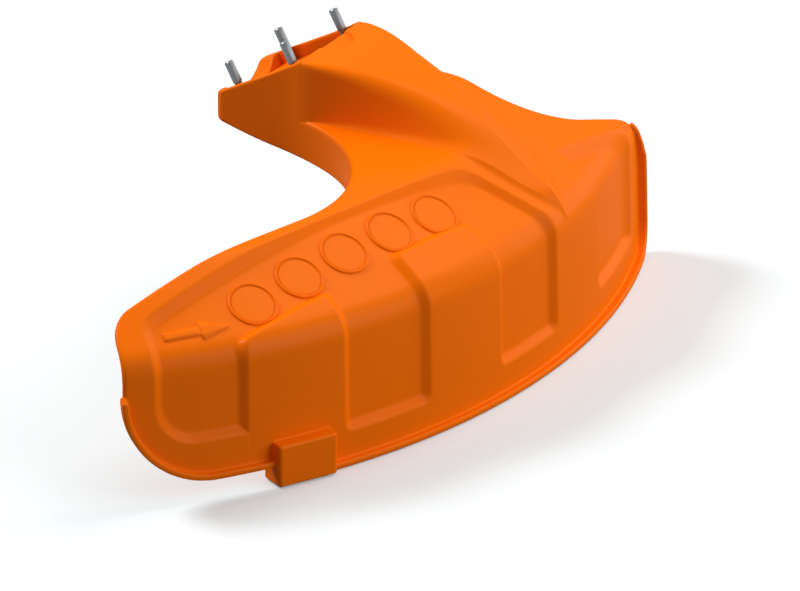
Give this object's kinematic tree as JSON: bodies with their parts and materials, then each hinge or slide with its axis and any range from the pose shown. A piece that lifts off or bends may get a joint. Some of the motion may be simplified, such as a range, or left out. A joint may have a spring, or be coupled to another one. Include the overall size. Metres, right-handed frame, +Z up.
{
  "type": "trimmer blade guard",
  "caption": "Curved moulded guard for a trimmer blade: stepped skirt with raised pads and a clip lug, arched neck and tilted screw collar.",
  "frame": {"origin": "middle of the four screws on the seat's upper face", "axes": "+X across the tool towards the short wing, +Y towards the user's shaft, +Z up; the seat leans 29.4 degrees towards +Y"},
  "size_m": [0.419, 0.2113, 0.1494],
  "materials": {
    "guard_plastic": "orange injection-moulded plastic, satin gloss",
    "screw_steel": "bare steel screws, smooth shank ends"
  },
  "bodies": {
    "root": {"guard_shell": "guard_plastic", "mounting_screws": "screw_steel"}
  },
  "joints": []
}
